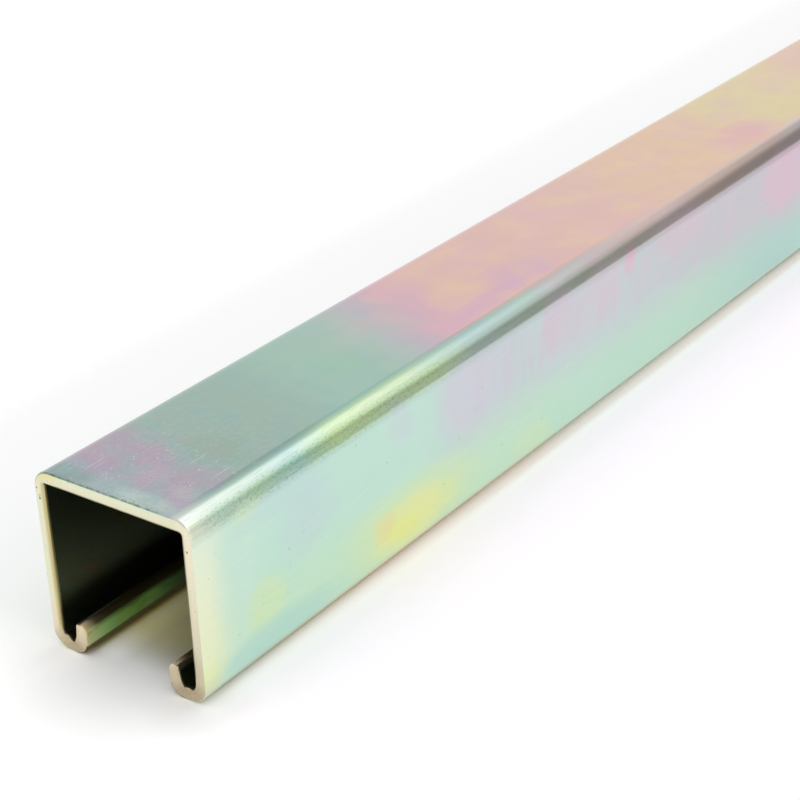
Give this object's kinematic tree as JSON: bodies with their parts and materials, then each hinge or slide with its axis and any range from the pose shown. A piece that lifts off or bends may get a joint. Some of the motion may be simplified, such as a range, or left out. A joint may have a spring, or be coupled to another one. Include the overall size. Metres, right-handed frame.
{
  "type": "strut channel",
  "caption": "Straight length of square steel channel, solid back, open along one side, with inturned lips that hold channel nuts for clamping pipes, rods and brackets.",
  "frame": {"origin": "on the floor, under the middle of the channel's width and length", "axes": "+Y along the channel, +Z from the open slot side up to the solid back, +X across it"},
  "size_m": [0.0412, 0.6096, 0.0413],
  "materials": {
    "plated_steel": "yellow zinc chromate plating with soft green, pink and gold iridescence"
  },
  "bodies": {
    "root": {"strut_channel": "plated_steel"}
  },
  "joints": []
}
